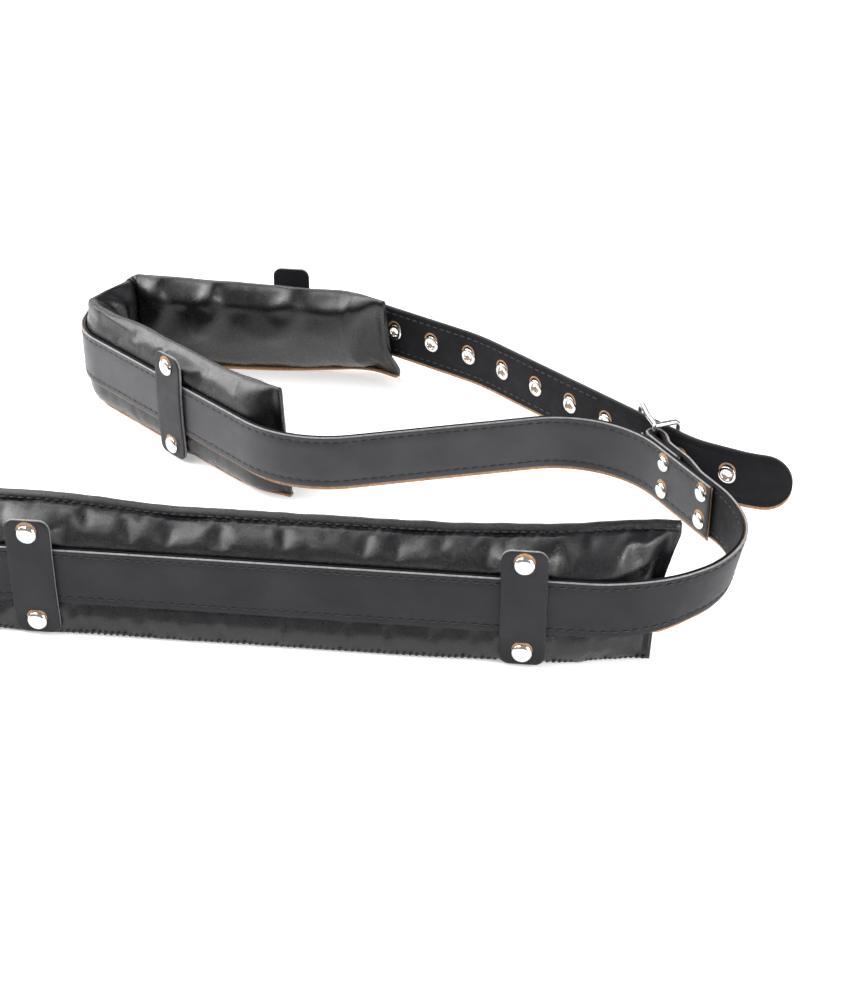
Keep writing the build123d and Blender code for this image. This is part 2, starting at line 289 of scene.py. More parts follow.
def stitches(name, frames, body, length=3.7, radius=0.42):
    """Short threads lying in the stitch grooves; each frame has X along the seam and Z outwards."""
    vertices, faces = [], []
    rings, around = 7, 7
    for at in frames:
        base = len(vertices)
        for ring in range(rings):
            t = -1 + 2 * ring / (rings - 1)
            girth = radius * math.sqrt(max(0.03, 1 - t ** 4))
            rise = 0.25 * (1 - t * t) - 0.28
            for k in range(around):
                angle = 2 * math.pi * k / around
                spot = Vector((t * length / 2, girth * math.cos(angle),
                               rise + girth * 0.8 * math.sin(angle))) * MM
                vertices.append(at @ spot)
        for face in tube_faces(rings, around):
            faces.append(tuple(base + k for k in face))
    return piece(name, vertices, faces, body)


# Materials

def nodes_of(name):
    material = bpy.data.materials.new(name)
    material.use_nodes = True
    tree = material.node_tree
    tree.nodes.clear()
    shader = tree.nodes.new("ShaderNodeBsdfPrincipled")
    output = tree.nodes.new("ShaderNodeOutputMaterial")
    tree.links.new(shader.outputs[0], output.inputs[0])
    place = tree.nodes.new("ShaderNodeTexCoord")
    return material, tree, shader, place.outputs["Object"]


def texture(tree, kind, where, scale, detail=None):
    made = tree.nodes.new(kind)
    tree.links.new(where, made.inputs["Vector"])
    made.inputs["Scale"].default_value = scale
    if detail is not None:
        made.inputs["Detail"].default_value = detail
    return made


def ramp(tree, source, low, high, start=0.0, end=1.0):
    """A value or a colour that runs from low to high."""
    made = tree.nodes.new("ShaderNodeValToRGB")
    for stop, place, colour in zip(made.color_ramp.elements, (start, end), (low, high)):
        stop.position = place
        stop.color = (*colour, 1) if isinstance(colour, tuple) else (colour, colour, colour, 1)
    tree.links.new(source, made.inputs[0])
    return made.outputs[0]


def bump(tree, shader, heights):
    """Bumps one over another: pairs of a height and its depth in mm."""
    last = None
    for height, depth in heights:
        made = tree.nodes.new("ShaderNodeBump")
        made.inputs["Strength"].default_value = 1.0
        made.inputs["Distance"].default_value = depth * MM
        tree.links.new(height, made.inputs["Height"])
        if last:
            tree.links.new(last, made.inputs["Normal"])
        last = made.outputs[0]
    tree.links.new(last, shader.inputs["Normal"])


def leather(name, dark, light, smooth, rough, grain=1400.0, grain_depth=0.05, wrinkle_depth=0.0, coat=0.0,
            specular=0.35):
    """Leather with pores, a slow change of tone and, if soft, fine creases."""
    material, tree, shader, where = nodes_of(name)
    slow = texture(tree, "ShaderNodeTexNoise", where, 45.0, 5.0)
    tree.links.new(ramp(tree, slow.outputs[0], dark, light, 0.35, 0.65), shader.inputs["Base Color"])
    blotch = texture(tree, "ShaderNodeTexNoise", where, 180.0, 4.0)
    tree.links.new(ramp(tree, blotch.outputs[0], smooth, rough, 0.35, 0.65), shader.inputs["Roughness"])
    pores = texture(tree, "ShaderNodeTexVoronoi", where, grain)
    pores.feature = "DISTANCE_TO_EDGE"
    fine = texture(tree, "ShaderNodeTexNoise", where, grain * 0.6, 3.0)
    heights = [(ramp(tree, pores.outputs["Distance"], 0.0, 1.0, 0.0, 0.16), grain_depth),
               (fine.outputs[0], grain_depth * 1.4)]
    if wrinkle_depth:
        crease = texture(tree, "ShaderNodeTexNoise", where, 90.0, 6.0)
        crease.inputs["Distortion"].default_value = 0.6
        heights.append((crease.outputs[0], wrinkle_depth))
    bump(tree, shader, heights)
    shader.inputs["Coat Weight"].default_value = coat
    shader.inputs["Coat Roughness"].default_value = 0.3
    shader.inputs["Specular IOR Level"].default_value = specular
    return material


def raw_edge(name, dark, light, roughness):
    """Cut leather: fibres along the strap."""
    material, tree, shader, where = nodes_of(name)
    fibres = texture(tree, "ShaderNodeTexNoise", where, 700.0, 6.0)
    tree.links.new(ramp(tree, fibres.outputs[0], dark, light, 0.3, 0.7), shader.inputs["Base Color"])
    shader.inputs["Roughness"].default_value = roughness
    shader.inputs["Specular IOR Level"].default_value = 0.3
    bump(tree, shader, [(fibres.outputs[0], 0.1)])
    return material


def metal(name, colour, roughness):
    material, tree, shader, where = nodes_of(name)
    wear = texture(tree, "ShaderNodeTexNoise", where, 400.0, 5.0)
    tree.links.new(ramp(tree, wear.outputs[0], tuple(0.86 * c for c in colour), colour, 0.35, 0.6),
                   shader.inputs["Base Color"])
    tree.links.new(ramp(tree, wear.outputs[0], roughness, roughness * 1.9, 0.4, 0.75),
                   shader.inputs["Roughness"])
    shader.inputs["Metallic"].default_value = 1.0
    bump(tree, shader, [(wear.outputs[0], 0.012)])
    return material


def thread_material(name, dark, light):
    material, tree, shader, where = nodes_of(name)
    twist = texture(tree, "ShaderNodeTexNoise", where, 2600.0, 2.0)
    tree.links.new(ramp(tree, twist.outputs[0], dark, light, 0.35, 0.65), shader.inputs["Base Color"])
    shader.inputs["Roughness"].default_value = 0.55
    bump(tree, shader, [(twist.outputs[0], 0.1)])
    return material


# The sling's and the cuff's faces are one leather in two painted tones: the sling's copy is painted darker
# and the cuff's lighter, standing in for how the light falls on each. The keepers take the darker copy.
STRAP = leather("strap_face_leather_painted_darker", (0.010, 0.010, 0.012), (0.017, 0.017, 0.021), 0.38, 0.48,
                coat=0.06, specular=0.2)
CUFF_FACE_PAINTED_LIGHTER = leather("cuff_face_leather_painted_lighter", (0.027, 0.027, 0.030), (0.038, 0.038, 0.043), 0.38, 0.48, coat=0.08)
LINING = leather("strap_lining_leather", (0.004, 0.004, 0.005), (0.008, 0.008, 0.010), 0.65, 0.8,
                 grain=1000.0, specular=0.2)
PAD = leather("pad_leather", (0.0035, 0.0035, 0.004), (0.0055, 0.0055, 0.0065), 0.25, 0.31, grain=1900.0,
              grain_depth=0.03, wrinkle_depth=0.07, coat=0.12, specular=0.45)
TAN = raw_edge("tan_cut_edge", (0.24, 0.125, 0.06), (0.46, 0.27, 0.15), 0.75)
# Light grey for the straps' upper edges and the keepers' cut sides: a painted highlight, standing in for the
# light catching these edges.
EDGE_HIGHLIGHT = raw_edge("painted_highlight_edge", (0.17, 0.165, 0.165), (0.30, 0.29, 0.29), 0.38)
NICKEL = metal("nickel_plate", (0.83, 0.81, 0.78), 0.14)
THREAD = thread_material("black_thread", (0.006, 0.006, 0.008), (0.02, 0.02, 0.023))


# Straps

def eased(value, start, end):
    t = min(1.0, max(0.0, (value - start) / (end - start)))
    return t * t * (3 - 2 * t)


TURN_START, TURN_END = SLING.nearest(95, -49), SLING.nearest(146, 36)


def sling_lean(distance, height):
    """The turn flares outwards at its top."""
    share = eased(distance, TURN_START, TURN_START + 50) * (1 - eased(distance, TURN_END - 40, TURN_END))
    return -0.2 * share * (height - STRAP_MIDDLE)


def upright(distance, height):
    return 0.0


def strap(name, route, outer, lean, tips, node_face, node_lining, longer, highlit, dress):
    """A strap of three layers: face leather, a tan core that hangs below the others, and a lining."""
    bottom, top = STRAP_MIDDLE - STRAP_HALF, STRAP_MIDDLE + STRAP_HALF
    made = []
    for part, near, far, high, node, skin, dressed in (
        ("face", 0.35, HALF, top, node_face, dress, 1),
        ("core", -0.35, 0.35, top - 0.9, None, TAN, 0),
        ("lining", -HALF, -0.35, top - 0.1, node_lining, LINING, -1),
    ):
        offsets = (near, far) if outer > 0 else (-far, -near)
        groove = {1: "left", -1: "right"}.get(dressed * outer)
        hang = longer if part == "core" else level
        nodes = (node,) if node else ()
        # Only the face layer's upper edge gets the painted highlight.
        face_highlit = highlit if part == "face" else never
        made.append(layer(f"{name}_{part}", route, offsets, (bottom, high), lean, nodes, tips, groove,
                          hang, face_highlit, skin))
    return made


def level(distance):
    return 0.0


def never(distance):
    return False


PAST_PAD = (SLING.nearest(108, -47), SLING.nearest(119, -43))
CUFF_PADDED = (CUFF.nearest(-86, 72), CUFF.nearest(-112, 92))
CUFF_BARE = (CUFF.nearest(-60, 242), CUFF.nearest(-44, 234))


def sling_core(distance):
    """The sling strap's core shows below it only past the pad."""
    return 2.2 * eased(distance, *PAST_PAD)


def cuff_core(distance):
    return 1.2 + 1.0 * (1 - eased(distance, *CUFF_PADDED) + eased(distance, *CUFF_BARE))


# The sling strap takes the darker painted copy of the face leather and the cuff strap the lighter one.
strap("sling", SLING, -1, sling_lean, (0.0,), "sling_strap_face", "sling_strap_lining", sling_core,
      lambda distance: True, STRAP)
# On the cuff the painted edge highlight stops where the tail begins.
cuff_layers = strap("cuff", CUFF, 1, upright, (CUFF.length,), "cuff_strap_face", "cuff_strap_lining",
                    cuff_core, lambda distance: distance < CUFF_BARE[0], CUFF_FACE_PAINTED_LIGHTER)


def seam_frames(route, start, end, lean, face):
    """Frames along both edges of one side of a strap; face is 1 for its left side and -1 for its right."""
    frames = []
    count = int((end - start) / STITCH_PITCH)
    for number in range(count):
        distance = start + (number + 0.5) * STITCH_PITCH
        for edge in (-1, 1):
            height = STRAP_MIDDLE + edge * (STRAP_HALF - STITCH_FROM_EDGE)
            frames.append(route.matrix(distance, face * HALF + lean(distance, height), height, face))
    return frames


SLING_SEWN = SLING.nearest(*at_joint(4, 3))
STRAP_SEAMS = (     # name, strap, first and last distance along it, lean, side
    ("sling_stitches_outer", SLING, 14, SLING.length - 44, sling_lean, -1),
    ("sling_stitches_inner", SLING, 14, SLING_SEWN, sling_lean, 1),
    ("cuff_stitches_outer", CUFF, 3, CUFF.length - 14, upright, 1),
    ("cuff_stitches_inner", CUFF, 52, CUFF.length - 120, upright, -1),
)
for seam_name, seam_route, seam_start, seam_end, seam_lean, seam_side in STRAP_SEAMS:
    seam = seam_frames(seam_route, seam_start, seam_end, seam_lean, seam_side)
    paint(stitches(seam_name, seam, ROOT), THREAD)


# Eyelets and rivets

EYELET_RING = [(2.75, -1.4), (2.75, 1.4), (2.9, 1.9), (3.4, 2.15), (4.1, 2.1), (4.8, 1.8), (5.0, 1.5),
               (4.0, 1.45), (3.3, 1.3), (3.3, -1.3), (4.0, -1.45), (5.0, -1.5), (4.8, -1.8), (4.1, -2.1),
               (3.4, -2.15), (2.9, -1.9), (2.75, -1.4)]
EYELET_COUNT, EYELET_PITCH, TIP_TO_EYELET = 10, 27.3, 34.0
EYELET_PUNCH = 3.1          # the radius of the holes in the leather
PRONG_EYELET = 2            # the eyelet that the buckle's prong goes through, counted from the tip
EYELET_SPOTS = [CUFF.length - TIP_TO_EYELET - EYELET_PITCH * number for number in range(EYELET_COUNT)]
eyelet_frames = [CUFF.matrix(spot, 0, STRAP_MIDDLE) for spot in EYELET_SPOTS]
paint(lathe("eyelets", EYELET_RING, eyelet_frames, ROOT, "strap_eyelets", slot="nickel"), NICKEL)


def punched(layers, frames, radius):
    """Cut round holes through strap layers, one at each frame."""
    profile = [(0.0001, -4.0), (radius, -4.0), (radius, 4.0), (0.0001, 4.0)]
    drill = lathe("drill", profile, frames, None)
    for cut in layers:
        tool = cut.modifiers.new("holes", "BOOLEAN")
        tool.operation, tool.object, tool.solver = "DIFFERENCE", drill, "EXACT"
        bpy.context.view_layer.update()
        seen = cut.evaluated_get(bpy.context.evaluated_depsgraph_get())
        mesh = bpy.data.meshes.new_from_object(seen)
        cut.modifiers.clear()
        cut.data = mesh
    bpy.data.objects.remove(drill)


punched(cuff_layers, eyelet_frames, EYELET_PUNCH)

CAP = [(0.3, 2.05), (2.2, 2.0), (3.4, 1.85), (4.2, 1.45), (4.75, 0.95), (5.0, 0.5), (4.9, 0.12),
       (4.4, 0.0), (0.3, 0.0)]
WASHER = [(0.4, 0.12), (4.8, 0.12), (5.0, 0.0), (0.4, -0.3)]
TAN_CRESCENT_RISE = 1.7        # a rivet's tan crescent shows this far above its cap


def rivets(name, frames, body, *nodes, scale=1.0):
    """Domed rivet caps, each over a tan ring set a little higher, so that a tan crescent shows above the cap.
    """
    profile = [(radius * scale, height) for radius, height in CAP]
    paint(lathe(name, profile, frames, body, *nodes, slot="nickel"), NICKEL)
    raised = [at @ Matrix.Translation(Vector((0, rise_sign(at) * TAN_CRESCENT_RISE, 0)) * MM) for at in frames]
    washer = [(radius * scale, height) for radius, height in WASHER]
    paint(lathe(f"{name}_holes", washer, raised, body), TAN)


def rise_sign(at):
    """Which way along a frame's Y is up."""
    return 1 if at.to_3x3() @ Vector((0, 1, 0)) @ Vector((0, 0, 1)) > 0 else -1


JUNCTION_RIVETS = ((6.5, 4.5), (40.5, 7.6))     # along the cuff strap, and how far behind its middle
JUNCTION_RISE = 8.0
JUNCTION_CAP_SCALE = 0.9


def joint_frames(face):
    """Frames at the junction's rivets, on the cuff strap's outer face or on the sling strap's."""
    frames = []
    for along, back in JUNCTION_RIVETS:
        for rise in (-JUNCTION_RISE, JUNCTION_RISE):
            aside = -HALF if face == "front" else back
            frames.append(CUFF.matrix(along, -aside, STRAP_MIDDLE + rise, 1 if face == "front" else -1))
    return frames


SCUFF_RISE = 2.6
crescents = [CUFF.matrix(spot, -HALF, STRAP_MIDDLE + SCUFF_RISE, -1)
             for number, spot in enumerate(EYELET_SPOTS) if number != PRONG_EYELET]
SCUFF = [(3.6, 0.1), (4.5, 0.1), (4.7, 0.0), (4.7, -0.3), (3.6, -0.3), (3.6, 0.1)]
paint(lathe("eyelet_hole_edges", SCUFF, crescents, ROOT), TAN)
rivets("junction_rivets", joint_frames("front"), ROOT, "junction_rivet_caps", "junction_rivet_posts",
       scale=JUNCTION_CAP_SCALE)
rivets("junction_rivets_back", joint_frames("back"), ROOT, scale=JUNCTION_CAP_SCALE)


# Keepers

def keeper(name, route, distance, face, body, node):
    """A leather tab that bridges the strap and is riveted to the pad above and below it."""
    width, height, corner, rim = 10.9, 31.5, 5.0, 0.8
    from_edge = (0, 0.15, 0.4, 0.8, 1.6, 3, 5)
    rows = sorted({-height + d for d in from_edge} | {height - d for d in from_edge}
                  | {-height + 5 + (2 * height - 10) * k / 16 for k in range(17)})
    columns = [-1, -0.985, -0.96, -0.93, -0.8, -0.5, -0.2, 0.2, 0.5, 0.8, 0.93, 0.96, 0.985, 1]
    front, back = [], []
    for z in rows:
        past = abs(z) - (height - corner)
        reach = width if past <= 0 else width - corner + math.sqrt(max(0.0, corner ** 2 - past ** 2))
        bulge = 0.7 * math.exp(-(z / 17) ** 4) - 0.35
        for u in columns:
            x = u * reach
            edge = min(reach - abs(x), height - abs(z)) if past <= 0 else min(
                reach - abs(x), corner - math.hypot(max(0, abs(x) - width + corner), past))
            drop = 0.0 if edge >= rim else rim - math.sqrt(max(0.0, rim ** 2 - (rim - max(0.0, edge)) ** 2))
            front.append((x, z, KEEPER_THICKNESS + bulge - drop))
            back.append((x, z, bulge + drop * 0.5))
    at = route.matrix(distance, face * KEEPER_BACK, STRAP_MIDDLE, face)
    flip = rise_sign(at)
    vertices = [at @ (Vector((x, z * flip, y)) * MM) for x, z, y in front + back]
    wide, tall, half = len(columns), len(rows), len(front)
    faces = []
    for r in range(tall - 1):
        for c in range(wide - 1):
            a = r * wide + c
            faces.append((a, a + 1, a + wide + 1, a + wide))
            faces.append((half + a, half + a + wide, half + a + wide + 1, half + a + 1))
    border = list(range(wide)) + [r * wide + wide - 1 for r in range(1, tall)]
    border += [(tall - 1) * wide + c for c in range(wide - 2, -1, -1)]
    border += [r * wide for r in range(tall - 2, 0, -1)]
    for a, b in zip(border, border[1:] + border[:1]):
        faces.append((a, half + a, half + b, b))
    made = piece(name, vertices, faces, body, node, slot="strap_leather")
    paint(made, STRAP, EDGE_HIGHLIGHT)
    # The tab's cut sides take the light grey: a painted highlight standing in for the light catching them.
    for polygon in made.data.polygons[-len(border):]:
        polygon.material_index = 1
    frames = [route.matrix(distance, face * (KEEPER_BACK + KEEPER_THICKNESS - 0.3), STRAP_MIDDLE + rise, face)
              for rise in (-KEEPER_RISE, KEEPER_RISE)]
    return made, frames


FRONT_KEEPERS_X, FRONT_STRAP_Y = (-182.0, 52.0), -49.5
KEEPERS_FRONT = [SLING.nearest(x, FRONT_STRAP_Y) for x in FRONT_KEEPERS_X]
KEEPERS_CUFF = [CUFF.nearest(-155.4, 126.5), CUFF.nearest(-110, 245)]
front_rivets, cuff_rivets = [], []
for node, spot in zip(("front_keeper_left", "front_keeper_right"), KEEPERS_FRONT):
    front_rivets += keeper(f"{node}_tab", SLING, spot, -1, FRONT, node)[1]
for node, spot in zip(("cuff_keeper_front", "cuff_keeper_back"), KEEPERS_CUFF):
    cuff_rivets += keeper(f"{node}_tab", CUFF, spot, 1, ROOT, node)[1]
rivets("front_keeper_rivets", front_rivets, FRONT, "front_keeper_rivet_caps", "front_keeper_rivet_posts")
rivets("cuff_keeper_rivets", cuff_rivets, ROOT, "cuff_keeper_rivet_caps", "cuff_keeper_rivet_posts")


# Pads

GAP = HALF + CLEARANCE      # a pad's "behind" is counted from here


def turned(section, steps):
    """Points on a closed Catmull-Rom loop, with a number of steps for each span."""
    total, points = len(section), []
    for k, count in enumerate(steps):
        p0, p1, p2, p3 = (Vector(section[(k + j - 1) % total]) for j in range(4))
        for step in range(count):
            t = step / count
            points.append(0.5 * ((2 * p1) + (p2 - p0) * t + (2 * p0 - 5 * p1 + 4 * p2 - p3) * t * t
                                 + (3 * p1 - p0 - 3 * p2 + p3) * t ** 3))
    return points


def mixed(one, other, share):
    return [(a[0] + (b[0] - a[0]) * share, a[1] + (b[1] - a[1]) * share) for a, b in zip(one, other)]


def between(value, stops):
    """A value read off eased steps between (place, value) stops."""
    for (a, low), (b, high) in zip(stops, stops[1:]):
        if value <= b:
            return low + (high - low) * eased(value, a, b)
    return stops[-1][1]


def cushion(name, route, places, inside, section, steps, body, nodes, shear=None):
    """A pad's skin over its sections; also each point's distance, depth behind the strap and height."""
    vertices, marks = [], []
    for distance in places:
        for behind, height in turned(section(distance), steps):
            along = distance + (shear(distance, height) if shear else 0.0)
            vertices.append(route.world(along, inside * (GAP + behind), height))
            marks.append((distance, behind, height))
    made = piece(name, vertices, tube_faces(len(places), sum(steps)), body, *nodes, slot="pad_leather")
    paint(made, PAD)
    return made, marks


def creased(made, marks, offset):
    """Move each point of a pad along its normal by an offset read from its marks."""
    mesh = made.data
    normals = [v.normal.copy() for v in mesh.vertices]
    for vertex, normal, mark in zip(mesh.vertices, normals, marks):
        vertex.co += normal * (offset(*mark) * MM)
    mesh.update()


def swell(made, marks, held, frames=14, pressure=1.6, spare=0.014, limit=2.5):
    """Blow a pad's skin up as spare cloth over its filling, held fast where held says so.

    The simulation runs at ten times the size, which suits the solver better."""
    mesh, scale = made.data, 10.0
    before = [v.co.copy() for v in mesh.vertices]
    for vertex in mesh.vertices:
        vertex.co *= scale
    group = made.vertex_groups.new(name="held")
    for index, mark in enumerate(marks):
        group.add([index], max(0.0, min(1.0, held(*mark))), "REPLACE")
    cloth = made.modifiers.new("swell", "CLOTH")
    settings = cloth.settings
    settings.quality, settings.mass = 5, 0.3
    settings.tension_stiffness = settings.compression_stiffness = 15
    settings.shear_stiffness, settings.bending_stiffness = 5, 4.0
    settings.use_pressure, settings.uniform_pressure_force = True, pressure
    settings.shrink_min = settings.shrink_max = -spare
    settings.vertex_group_mass = "held"
    settings.effector_weights.gravity = 0.0
    cloth.point_cache.frame_start, cloth.point_cache.frame_end = 1, frames
    for frame_number in range(1, frames + 1):
        scene.frame_set(frame_number)
    seen = made.evaluated_get(bpy.context.evaluated_depsgraph_get())
    after = [v.co / scale for v in seen.data.vertices]
    made.modifiers.clear()
    made.vertex_groups.clear()
    scene.frame_set(1)
    for vertex, old, new in zip(mesh.vertices, before, after):
        moved = new - old
        if moved.length > limit * MM:
            moved *= limit * MM / moved.length
        vertex.co = old + moved
    mesh.update()


def pressed(behind, height):
    """How firmly the strap holds the pad's skin at a place."""
    return math.exp(-((height - STRAP_MIDDLE) / 17.5) ** 8) if behind < 12 else 0.0


def end_share(past, reach):
    """How far a section has gone to its flat end: 0 at reach from the end's seam, 1 at the seam."""
    return max(0.0, min(1.0, 1 - past / reach)) ** 2.4


KEEPER_HOLD = 13            # along the strap, how far a keeper's hold on the skin reaches
DRAWN_IN = 2.6              # how far a keeper's rivets draw the skin in beside the strap


def near_keeper(distance, spots):
    """1 under a keeper, falling to 0 away from it."""
    return max(math.exp(-((distance - spot) / KEEPER_HOLD) ** 4) for spot in spots)


def drawn_in(shape, held):
    """The section where a keeper's rivets draw the skin in, below and above the strap."""
    return [(x - DRAWN_IN * held * (k in (1, 2, 3)) - (x + DRAWN_IN) * held * (k in (7, 8)), z)
            for k, (x, z) in enumerate(shape)]


# A section is a loop of (behind, height): from the bottom seam up the strap's side, over the rim
# and down the wearer's side.

FRONT_STEPS = [2, 2, 2, 2, 5, 5, 3, 3, 3, 2, 2, 2, 2, 2, 3, 6, 7, 6, 3, 2]
FRONT_LEFT, FRONT_RIGHT = 50.0, 425.0
FLANGE = 5.0
RIM_HEIGHT = 65.6
STRAP_BEND_AT, STRAP_BEND = 382.7, 75.0


def front_top(distance):
    """The rim sags between its ends."""
    return between(distance, [(0, 65.8), (118, 65.4), (190, 61.2), (300, 61.2), (412, RIM_HEIGHT)])


def front_rim(distance):
    return 19.7 + 7.3 * eased(distance, 360, FRONT_RIGHT)


def front_seam(distance):
    return between(distance, [(0, -5.0), (300, -4.6), (365, -2.6), (405, 3.0), (FRONT_RIGHT, 6.6)])


def spine(height):
    """Where a pad's flat right end stands behind the strap."""
    return between(height, [(0, 7.7), (18, 14), (36, 20), (50, 24), (66, 27)])


def front_section(distance):
    rim, seam, top = front_rim(distance), front_seam(distance), front_top(distance)
    shape = [(2, 0.8), (0.3, 4.5), (-1.2, 10), (-0.8, 15.5), (0.1, 20), (0.1, 33), (0.1, 46), (1.4, 51.5),
             (5.5, 51.5 + 0.43 * (top - 51.5)), (11.5, 51.5 + 0.75 * (top - 51.5)), (rim - 4.5, top - 2.6),
             (rim - 2.6, top - 2.2), (rim - 1.2, top - 0.7), (rim, top - 0.1), (rim + 1.3, top - 1.2),
             (rim + 3.2, top - 6.5), (25, 45), (24.5, 25), (19, 8), (7, 1.2)]
    shape = [(x + seam * (1 - eased(z, 0, 18)), z) for x, z in shape]
    shape = drawn_in(shape, near_keeper(distance, FRONT_HELD))
    right = end_share(FRONT_RIGHT - FLANGE - distance, 34)
    left = end_share(distance - FRONT_LEFT - FLANGE, 34)
    thick = 2.4 - 1.5 * max(eased(distance, FRONT_RIGHT - FLANGE - 3, FRONT_RIGHT - FLANGE),
                            1 - eased(distance, FRONT_LEFT + FLANGE, FRONT_LEFT + FLANGE + 3))
    flat_right = [(spine(z) + (thick if k > 13 else -thick) * (k not in (0, 13)), z)
                  for k, (x, z) in enumerate(shape)]
    flat_left = [(x - 9.3 * eased(z, 10, 60) + 2, z) for x, z in flat_right]
    shape = mixed(mixed(shape, flat_right, right), flat_left, left)
    bend = max(0.0, distance - STRAP_BEND_AT)
    curve = STRAP_BEND - math.sqrt(STRAP_BEND ** 2 - bend ** 2)
    return [(max(x, (curve + 0.1) * math.exp(-((z - STRAP_MIDDLE) / 20) ** 8) - 3.3 * (not 16 < z < 50))
             if k < 14 else x, z) for k, (x, z) in enumerate(shape)]


PAD_LINE_START_X = -302.0
FRONT_HELD = [x - PAD_LINE_START_X for x in FRONT_KEEPERS_X]
front_places = spaced(FRONT_LEFT, FRONT_RIGHT, 1.9)


def front_crease(distance, behind, height):
    """Soft dents on the slope, puckers beside the hem and the seams, none where the strap presses."""
    loose = 1 - pressed(behind, height)
    inner = eased(distance, FRONT_LEFT + FLANGE, FRONT_LEFT + 30)
    inner *= 1 - eased(distance, FRONT_RIGHT - 30, FRONT_RIGHT - FLANGE)
    slope = eased(height, 49, 54) * (1 - eased(height, 61, 65)) * (behind < front_rim(distance))
    wide = noise.noise(Vector((distance / 34, height / 30, behind / 30)))
    pucker = noise.noise(Vector((distance / 9, height / 22, 4 + behind / 20)))
    fine = noise.noise(Vector((distance / 5, height / 9, 9 + behind / 12)))
    end = eased(distance, FRONT_RIGHT - 70, FRONT_RIGHT - 20)
    hollow = -1.1 * slope * abs(noise.noise(Vector((distance / 22 + 5, height / 26, 3)))) * 2
    return inner * loose * (1.1 * wide + (0.4 + 0.9 * end) * pucker + 0.12 * fine + hollow) * (
        0.35 + 0.65 * (abs(height - front_top(distance)) > 3))


def front_shear(distance, height):
    """The right end slants back towards the ground, the left one a little."""
    low = max(0.0, 1 - (height / 60) ** 2)
    right = eased(distance, FRONT_RIGHT - 60, FRONT_RIGHT)
    left = 1 - eased(distance, FRONT_LEFT, FRONT_LEFT + 50)
    return low * (6.0 * left - 11.0 * right)


FRONT_PAD, front_marks = cushion("front_pad_skin", PAD_LINE, front_places, 1, front_section, FRONT_STEPS,
                                 FRONT, ("front_pad_cover", "front_pad_foam"), front_shear)
creased(FRONT_PAD, front_marks, front_crease)


def front_held(distance, behind, height):
    """The strap, the keepers, the hem, the bottom seam and the ends hold the front pad's skin."""
    at_keeper = near_keeper(distance, FRONT_HELD) * (behind < 4)
    hem = math.exp(-((height - front_top(distance)) / 2.6) ** 4)
    seam = math.exp(-(height / 3.0) ** 4)
    ends = max(eased(distance, FRONT_RIGHT - 12, FRONT_RIGHT - 6),
               1 - eased(distance, FRONT_LEFT + 6, FRONT_LEFT + 12))
    return max(at_keeper, hem, seam, ends, pressed(behind, height))


swell(FRONT_PAD, front_marks, front_held)

# The front pad's rim is bound with a folded strip
BINDING = [(-3.4, -2.9), (-2.6, -0.7), (-1.1, 0.85), (0.4, 1.15), (2.0, 0.3), (3.1, -3.0), (3.8, -7.5),
           (3.2, -7.4), (2.4, -2.4), (1.5, -0.4), (0.3, 0.35), (-0.8, 0.05), (-1.9, -1.2), (-2.8, -3.2)]


def binding():
    vertices, places = [], spaced(FRONT_LEFT + 1, FRONT_RIGHT - 0.5, 2.5)
    for distance in places:
        wave = 0.35 * noise.noise(Vector((distance / 12, 3, 8)))
        for across, up in BINDING:
            vertices.append(PAD_LINE.world(distance, GAP + front_rim(distance) + across + wave,
                                           front_top(distance) + up - 0.2 + wave))
    made = piece("front_pad_binding", vertices, tube_faces(len(places), len(BINDING)), FRONT, "front_pad_hem",
                 slot="pad_leather")
    paint(made, PAD)


def row_frames(route, inside, places, depth, rise, slant=0.0, tip=0.0, shear=None):
    """Frames for threads along a pad; slant turns them in the surface and tip leans it upwards."""
    frames = []
    for distance in places:
        along = distance + (shear(distance, rise(distance)) if shear else 0.0)
        at = route.matrix(along, inside * (GAP + depth(distance)), rise(distance), -inside)
        tipped = Matrix.Rotation(tip * rise_sign(at), 4, "X").inverted()
        frames.append(at @ tipped @ Matrix.Rotation(slant, 4, "Z"))
    return frames


binding()
hem_threads = row_frames(PAD_LINE, 1, spaced(FRONT_LEFT + 4, FRONT_RIGHT - 3, 4.4),
                         lambda d: front_rim(d) - 3.1, lambda d: front_top(d) - 1.7, tip=math.radians(55))
paint(stitches("binding_stitches", hem_threads, FRONT, length=3.1, radius=0.4), THREAD)
whip = row_frames(PAD_LINE, 1, spaced(FRONT_LEFT + 3, FRONT_RIGHT - 3, 3.1),
                  lambda d: front_section(d)[0][0] - 0.9, lambda d: 1.75, slant=math.radians(38),
                  shear=front_shear)
paint(stitches("front_seam_whipping", whip, FRONT, length=2.5, radius=0.6), THREAD)


# The cuff's pad follows its strap round the bend

CUFF_STEPS = [2, 2, 2, 3, 5, 5, 3, 3, 4, 4, 4, 3, 3, 5, 6, 5, 3, 2]
CUFF_PAD_START, CUFF_PAD_END = CUFF.nearest(-89, 74), CUFF.nearest(-39, 233)
BEND_START, BEND_END = CUFF.nearest(-205, 168), CUFF.nearest(-196, 246)
BEND_MIDDLE = (BEND_START + BEND_END) / 2
CHORD = (Vector((-218.5, 185.7)), Vector((-197.5, 223.6)))      # the rim cuts the bend's corner off here
BEND_DEPTH = 25.0                                               # no deeper than this inside the bend
RIDGES = [CUFF.nearest(x, 245) for x in (-186, -152, -104)]
CUFF_TOP = [(CUFF_PAD_START, 66.0), (CUFF_PAD_START + 70, 63.0), (BEND_START, 64.0), (BEND_MIDDLE, 66.0),
            (BEND_END, 66.0), (BEND_END + 45, 65.0), (CUFF_PAD_END - 50, 64.4), (CUFF_PAD_END, 66.3)]


